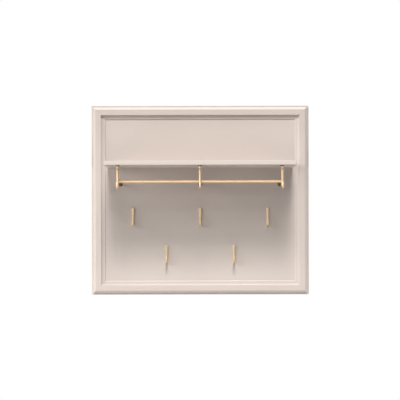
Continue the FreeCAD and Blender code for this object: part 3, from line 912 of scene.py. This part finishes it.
@dataclass(frozen=True)
class ScrewForm:
    """The sizes of a countersunk screw with a cross recess.

    Args:
        head: the head's diameter.
        shank: the shank's diameter.
        length: its whole length.
    """

    head: float
    shank: float
    length: float

    ROUND_COUNT = 32
    EDGE = 0.0001
    POINT_SHARE = 1 / 8
    MOUTH_ARM_SHARE = 0.29
    MOUTH_WIDTH_SHARE = 0.1
    FLOOR_ARM_SHARE = 0.14
    FLOOR_WIDTH_SHARE = 0.06
    RECESS_DEPTH_SHARE = 0.24

    def ring(self, mesh: BMesh, radius: float, depth: float) -> list[BMVert]:
        """Add a ring of points about the screw's axis.

        Args:
            mesh: the screw's mesh.
            radius: the ring's radius.
            depth: how far it lies below the head's face.

        Returns:
            The points, in order.
        """
        turns = (math.tau * count / self.ROUND_COUNT for count in range(self.ROUND_COUNT))
        places = ((radius * math.cos(turn), -depth, radius * math.sin(turn)) for turn in turns)
        return [mesh.verts.new(place) for place in places]

    def cross(self, mesh: BMesh, arm_share: float, width_share: float, depth: float) -> list[BMVert]:
        """Add the twelve corners of a cross about the screw's axis.

        Args:
            mesh: the screw's mesh.
            arm_share: the length of an arm, as a share of the head.
            width_share: the width of an arm, as a share of the head.
            depth: how far the cross lies below the head's face.

        Returns:
            The corners, in order.
        """
        arm, half = arm_share * self.head, width_share * self.head / 2
        points = []
        for count in range(4):
            cosine, sine = math.cos(math.pi / 2 * count), math.sin(math.pi / 2 * count)
            for across, up in ((arm, -half), (arm, half), (half, half)):
                place = (across * cosine - up * sine, -depth, across * sine + up * cosine)
                points.append(mesh.verts.new(place))
        return points

    def master(self) -> Object:
        """Return one screw with its head's face at the origin, looking along Y."""
        mesh = bmesh.new()
        head, shank = self.head / 2, self.shank / 2
        rings = [
            self.ring(mesh, head - self.EDGE, 0.0),
            self.ring(mesh, head, self.EDGE),
            self.ring(mesh, shank, head - shank),
            self.ring(mesh, shank, self.length - shank),
            self.ring(mesh, self.POINT_SHARE * self.shank, self.length),
        ]
        recess = self.RECESS_DEPTH_SHARE * self.head
        mouth = self.cross(mesh, self.MOUTH_ARM_SHARE, self.MOUTH_WIDTH_SHARE, 0.0)
        floor = self.cross(mesh, self.FLOOR_ARM_SHARE, self.FLOOR_WIDTH_SHARE, recess)
        for upper, lower in [*zip(rings, rings[1:]), (mouth, floor)]:
            for index in range(len(upper)):
                following = (index + 1) % len(upper)
                mesh.faces.new((upper[index], upper[following], lower[following], lower[index]))
        mesh.faces.new(rings[-1])
        mesh.faces.new(floor)
        edges = [
            mesh.edges.get((loop[index], loop[(index + 1) % len(loop)]))
            for loop in (rings[0], mouth)
            for index in range(len(loop))
        ]
        bmesh.ops.triangle_fill(mesh, use_beauty=True, use_dissolve=False, edges=edges)
        bmesh.ops.recalc_face_normals(mesh, faces=mesh.faces)
        data = bpy.data.meshes.new("screw_master")
        mesh.to_mesh(data)
        mesh.free()
        return add_object(data.name, data)


class Screws(Piece):
    """Screws with cross recesses in the place of a group of plain ones.

    The points of the plain heads' faces lie within FLUSH of the hindmost one, and those of one head
    within REACH heads of each other. They are sorted across the board by DIGITS digits. Each new
    screw is turned on by TURN, in radians, from the one before.
    """

    FLUSH = 1e-5
    REACH = 1.01
    DIGITS = 4
    TURN = 1.4394

    def __init__(self, material: Material, node: str, form: ScrewForm) -> None:
        """Choose the screws' finish, the plain screws that they stand for and their form."""
        super().__init__(material, Slot.ZINC)
        self.node = node
        self.form = form

    def places(self) -> list[Vector]:
        """Return the middle of each screw's head, read from the plain screws, from left to right."""
        points = [vertex.co.copy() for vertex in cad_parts[self.node].data.vertices]
        back = max(point.y for point in points)
        faces = [point for point in points if back - point.y < self.FLUSH]
        reach = self.REACH * self.form.head
        groups: list[list[Vector]] = []
        for point in sorted(faces, key=lambda item: (round(item.x, self.DIGITS), item.z)):
            near = (group for group in groups if (group[0] - point).length < reach)
            found = next(near, None)
            if found is None:
                groups.append([point])
            else:
                found.append(point)
        return [self.middle(group) for group in groups]

    @staticmethod
    def middle(group: Sequence[Vector]) -> Vector:
        """Return the middle of the box round some points."""
        low = Vector([min(point[axis] for point in group) for axis in range(3)])
        high = Vector([max(point[axis] for point in group) for axis in range(3)])
        return (low + high) / 2

    def make(self) -> list[Object]:
        """Set a screw at each place and return the group of screws, as one piece."""
        master = self.form.master()
        data = bpy.data.meshes.new(f"{self.node}_places")
        data.from_pydata([tuple(place) for place in self.places()], [], [])
        source = add_object(data.name, data)
        tree = GeometryTree("screw_places", Turn=self.TURN)
        info = tree.node("GeometryNodeObjectInfo", master, transform_space="ORIGINAL")
        count = Field(tree, tree.node("GeometryNodeInputIndex").outputs[0])
        spin = tree.node("ShaderNodeCombineXYZ", Y=count * tree.size("Turn"))
        tree.pass_through(
            "GeometryNodeInstanceOnPoints",
            Instance=info.outputs["Geometry"],
            Rotation=spin.outputs[0],
        )
        tree.close(self.material)
        piece = tree.run_on(source, f"{self.node}_crossed", self.material)
        bpy.data.objects.remove(master)
        return [self.settle(piece, self.node)]


class EasedSolids(Piece):
    """Copies of solids with their round faces smoothed and, where asked, their sharp edges eased.

    SHARP is the least angle of a sharp edge, FLAT the largest between triangles of one flat face,
    SAME the distance between points that are one, and ROUND_COUNT how many facets ease an edge.
    """

    SHARP = math.radians(14.0)
    FLAT = math.radians(0.2)
    SAME = 1e-6
    ROUND_COUNT = 2

    def __init__(self, material: Material, slot: Slot, nodes: Sequence[str], ease: float = 0.0) -> None:
        """Choose what is finished, and how.

        Args:
            material: the finish.
            slot: the slot for it.
            nodes: the solids.
            ease: how much is taken off a sharp edge.
        """
        super().__init__(material, slot)
        self.nodes = nodes
        self.ease = ease

    def make(self) -> list[Object]:
        """Finish a copy of each solid and return the copies."""
        return [self.finished(node) for node in self.nodes]

    def adjust(self, mesh: BMesh) -> None:
        """Change a copy's points before its edges are eased. The plain solids stay as they are."""

    def finished(self, node: str) -> Object:
        """Smooth the round faces of a solid's copy and, where asked, ease its sharp edges.

        Args:
            node: the solid.

        Returns:
            The copy.
        """
        mesh = bmesh.new()
        mesh.from_mesh(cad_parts[node].data)
        bmesh.ops.remove_doubles(mesh, verts=mesh.verts, dist=self.SAME)
        self.adjust(mesh)
        if self.ease > 0.0:
            bmesh.ops.dissolve_limit(mesh, angle_limit=self.FLAT, verts=mesh.verts, edges=mesh.edges)
            sharp = [edge for edge in mesh.edges if edge.calc_face_angle(0.0) > self.SHARP]
            bmesh.ops.bevel(
                mesh,
                geom=sharp,
                offset=self.ease,
                segments=self.ROUND_COUNT,
                profile=0.5,
                affect="EDGES",
                clamp_overlap=True,
            )
        data = bpy.data.meshes.new(f"{node}_eased")
        mesh.to_mesh(data)
        mesh.free()
        data.materials.append(self.material)
        data.polygons.foreach_set("use_smooth", [True] * len(data.polygons))
        data.set_sharp_from_angle(angle=self.SHARP)
        piece = add_object(data.name, data)
        weights = piece.modifiers.new("weights", "WEIGHTED_NORMAL")
        weights.keep_sharp = True
        return self.settle(piece, node)


@dataclass(frozen=True)
class LipShift:
    """Where the moulding's lip stands, measured inwards from the board's edges.

    Args:
        lip: how far in the lip of the plain solid stands.
        moved: how far in the lip stands in the look.
        cove: how far in the cove below the lip ends.
        slack: by how much a point can miss its place.
    """

    lip: float = 0.041
    moved: float = 0.0435
    cove: float = 0.0555
    slack: float = 1e-5

    def shift(self, inset: float) -> float:
        """Return how much further in a point goes.

        Args:
            inset: how far in it stands.

        Returns:
            The shift, which is largest at the lip and nothing from the cove's end on.
        """
        if not self.lip - self.slack < inset < self.cove:
            return 0.0
        return (self.moved - self.lip) * (self.cove - inset) / (self.cove - self.lip)


class Mouldings(EasedSolids):
    """The four mitred sides of the moulding."""

    LIP = LipShift()
    MITRE_SLACK = 1e-4

    def adjust(self, mesh: BMesh) -> None:
        """Set the lip a little further in, on the mitres too."""
        for vertex in mesh.verts:
            across = HALF_WIDTH - abs(vertex.co.x)
            down = HALF_HEIGHT - abs(vertex.co.z)
            inset = min(across, down)
            step = self.LIP.shift(inset)
            if across - inset < self.MITRE_SLACK:
                vertex.co.x -= math.copysign(step, vertex.co.x)
            if down - inset < self.MITRE_SLACK:
                vertex.co.z -= math.copysign(step, vertex.co.z)


class Dresser:
    """Gives every solid of the frame its finish."""

    def __init__(self) -> None:
        """Build the finishes, each under the start of the names of the solids that wear it."""
        self.brass = SatinBrass().build()
        self.zinc = ZincPlate().build()
        # Painted light: the rail and its caps wear a lighter copy of the brass than the hooks and
        # stems.
        level = SatinBrass(
            name="satin_brass_level",
            colour=(0.70, 0.510, 0.320),
            tarnish=(0.64, 0.455, 0.275),
            roughness=0.54,
            stretch=(0.06, 1.0, 1.0),
        )
        # Painted shade: the flange is darkened all over.
        flange = SatinBrass("flange_brass", shade_band=(0.1458, 0.1502), band_shade=(0.10, 0.068, 0.036))
        # The stem gets painted shade in a band under its collar and a painted highlight on its lower
        # end.
        stem = SatinBrass("stem_brass", shade_band=(0.1308, 0.1350), highlight_below=0.074)
        # Painted shade: the arms and the rosettes on the wall wear dark copies of the brass.
        arm = SatinBrass("arm_brass", (0.23, 0.148, 0.070), (0.17, 0.107, 0.050), 0.48)
        dark = SatinBrass("dark_brass", (0.084, 0.050, 0.020), (0.060, 0.035, 0.014), 0.5)
        mitred = SatinPaint("mitred_paint", mitre=HALF_WIDTH - HALF_HEIGHT)
        lit_rail_brass = level.build()
        self.finishes = {
            "back_panel": BackedPaint().build(),
            "shelf_board": FrontLitPaint().build(),
            "moulding": mitred.build(),
            "bracket_flange": flange.build(),
            "bracket_stem": stem.build(),
            "bracket_arm": arm.build(),
            "wall_rosette": dark.build(),
            "rail_cap": lit_rail_brass,
            "hanging_rail": lit_rail_brass,
            "hook": self.brass,
            "hanger_plate": self.zinc,
            "shelf_dowels": BeechWood().build(),
        }

    def finish_of(self, node: str) -> Material:
        """Return the finish that suits a solid.

        Args:
            node: the solid's name.

        Returns:
            Its finish, which is zinc plating for the screws and studs.
        """
        if "screws" in node or "studs" in node:
            return self.zinc
        return next(finish for start, finish in self.finishes.items() if node.startswith(start))

    def dress(self) -> None:
        """Give every solid its finish."""
        for name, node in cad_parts.items():
            finish = self.finish_of(name)
            for slot in node.material_slots:
                slot.material = finish
            LOG.info("%s wears %s", name, finish.name)


SCREW_FORMS = {
    "hook_screws": ScrewForm(0.0075, 0.004, 0.020),
    "arm_screws": ScrewForm(0.0092, 0.005, 0.030),
    "shelf_screws": ScrewForm(0.0095, 0.005, 0.060),
    "hanger_plate_screws": ScrewForm(0.0064, 0.0035, 0.012),
}
TURNED = ("bracket_flange", "bracket_stem", "bracket_arm", "wall_rosette", "hanging_rail", "rail_cap")
MOULDING_EASE = 0.0004


# Stage


@dataclass(frozen=True)
class Lamp:
    """A soft lamp.

    Args:
        name: the lamp's name.
        turn: how far it stands to the left of straight ahead, in degrees.
        rise: how far it stands above the level, in degrees.
        width: its width.
        height: its height.
        power: its power, in watts.
        distance: how far away it is from what it looks at.
        aim: the place that it looks at.
    """

    name: str
    turn: float
    rise: float
    width: float
    height: float
    power: float
    distance: float = 40.0
    aim: Triple = (0.0, 0.0, 0.0)

    def hang(self) -> Object:
        """Put the lamp in the scene and return it."""
        data = bpy.data.lights.new(self.name, "AREA")
        data.shape = "RECTANGLE"
        data.size = self.width
        data.size_y = self.height
        data.energy = self.power
        lamp = add_object(self.name, data)
        turn, rise = math.radians(self.turn), math.radians(self.rise)
        lamp.location = Vector(self.aim) + self.distance * Vector(
            (-math.sin(turn) * math.cos(rise), -math.cos(turn) * math.cos(rise), math.sin(rise))
        )
        lamp.rotation_euler = Euler((math.pi / 2 - rise, 0.0, -turn), "XYZ")
        return lamp


@dataclass(frozen=True)
class PhotoCamera:
    """The camera, square on to the board and a little below its middle.

    Args:
        place: where it stands.
        sensor: the width of its sensor, in millimetres.
        lens: its focal length, in millimetres.
        shift: how far the picture is slid sideways and up, in widths of the picture.
        roll: how far it is turned about its own axis, in degrees.
    """

    place: Triple = (0.017, -5.216, -0.138)
    sensor: float = 36.0
    lens: float = 101.5
    shift: tuple[float, float] = (-0.01, 0.075)
    roll: float = 0.12

    def set_up(self) -> Object:
        """Put the camera in the scene, look through it and return it."""
        data = bpy.data.cameras.new("camera")
        data.sensor_width = self.sensor
        data.lens = self.lens
        data.shift_x, data.shift_y = self.shift
        camera = add_object("camera", data)
        camera.location = self.place
        camera.rotation_euler = Euler((math.pi / 2, math.radians(self.roll), 0.0), "XYZ")
        bpy.context.scene.camera = camera
        return camera


@dataclass(frozen=True)
class Studio:
    """A white ground, a pale floor and soft lamps.

    Args:
        ground: the colour behind everything.
        floor_level: the height of the floor.
        floor_size: the floor's width and depth.
        floor_colour: the floor's colour.
        floor_shade: the floor's colour where it is a little darker.
        floor_roughness: how dull the floor is at its brightest.
        lamps: the lamps.
    """

    ground: Colour = (1.0, 1.0, 1.0)
    floor_level: float = -1.6
    floor_size: float = 4.0
    floor_colour: Colour = (0.66, 0.66, 0.66)
    floor_shade: Colour = (0.62, 0.62, 0.62)
    floor_roughness: float = 0.8
    lamps: tuple[Lamp, ...] = (
        Lamp("key_low", 0.0, 55.0, 18.5, 1.8, 1690.0),
        Lamp("key", 0.0, 61.2, 7.5, 6.0, 10425.0),
        Lamp("key_middle", 0.0, 62.5, 18.5, 1.8, 1945.0),
        Lamp("key_high", 0.0, 65.0, 18.5, 1.8, 3800.0),
        Lamp("front", 0.0, 31.0, 11.0, 5.0, 560.0),
        Lamp("front_high", 0.0, 45.0, 11.0, 5.0, 2005.0),
        Lamp("side", 60.0, 10.0, 24.0, 14.0, 6500.0),
        Lamp("side_far", 85.0, 19.0, 20.0, 14.0, 5900.0),
        Lamp("low_left", 46.8, -24.5, 0.8, 0.4, 5.66, 2.41, (0.0, 0.0, -0.2)),
        Lamp("low_right", -46.8, -24.5, 0.8, 0.4, 4.16, 2.41, (0.0, 0.0, -0.2)),
        Lamp("back", 202.0, 3.0, 11.0, 9.0, 13000.0),
    )

    FLOOR_CLOUD = Grain(1.5, 3.0)
    CLOUD_DULLING = 0.1

    def lay_ground(self) -> None:
        """Set the ground behind everything. It is seen and mirrored, and gives no other light."""
        world = bpy.data.worlds.new("white_room")
        world.use_nodes = True
        tree = Tree(world.node_tree)
        world.node_tree.nodes.clear()
        rays = tree.node("ShaderNodeLightPath").outputs
        seen = Field(tree, rays["Is Camera Ray"])
        for kind in ("Is Glossy Ray", "Is Transmission Ray"):
            seen = seen.most(Field(tree, rays[kind]))
        ground = tree.node("ShaderNodeBackground", (*self.ground, 1.0), seen)
        tree.node("ShaderNodeOutputWorld", ground.outputs[0])
        bpy.context.scene.world = world

    def lay_floor(self) -> Object:
        """Lay the pale floor and return it."""
        half = self.floor_size / 2
        outline = ((-half, -half), (half, -half), (half, half), (-half, half))
        data = bpy.data.meshes.new("floor")
        data.from_pydata([(x, y, self.floor_level) for x, y in outline], [], [(0, 1, 2, 3)])
        tree = ShaderTree("pale_floor")
        cloud = tree.noise(self.FLOOR_CLOUD)
        material = tree.close(
            Base_Color=tree.blend(cloud, self.floor_colour, self.floor_shade),
            Roughness=self.floor_roughness + self.CLOUD_DULLING * cloud,
        )
        data.materials.append(material)
        floor = add_object("floor", data)
        return floor

    def set_up(self) -> None:
        """Build the studio."""
        bpy.context.scene.view_settings.view_transform = "Standard"
        self.lay_ground()
        self.lay_floor()
        for lamp in self.lamps:
            lamp.hang()


def finer_pieces(dresser: Dresser) -> list[Piece]:
    """Choose the pieces that take the place of plain solids.

    Args:
        dresser: what gives the solids their finishes.

    Returns:
        The pieces, which aren't built yet.
    """
    pieces: list[Piece] = [CoatHooks(dresser.brass, HookForm())]
    pieces += [Screws(dresser.zinc, node, form) for node, form in SCREW_FORMS.items()]
    for start in TURNED:
        brass = [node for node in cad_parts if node.startswith(start)]
        pieces.append(EasedSolids(dresser.finish_of(brass[0]), Slot.BRASS, brass))
    sides = [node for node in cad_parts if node.startswith("moulding")]
    pieces.append(Mouldings(dresser.finish_of(sides[0]), Slot.PAINT, sides, MOULDING_EASE))
    return pieces


def main() -> None:
    """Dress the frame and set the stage."""
    logging.basicConfig(level=logging.INFO)
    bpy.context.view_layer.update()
    dresser = Dresser()
    dresser.dress()
    for piece in finer_pieces(dresser):
        for made in piece.make():
            LOG.info("%s made as %s", made.name, type(piece).__name__)
    Studio().set_up()
    PhotoCamera().set_up()


if __name__ == "__main__":
    main()
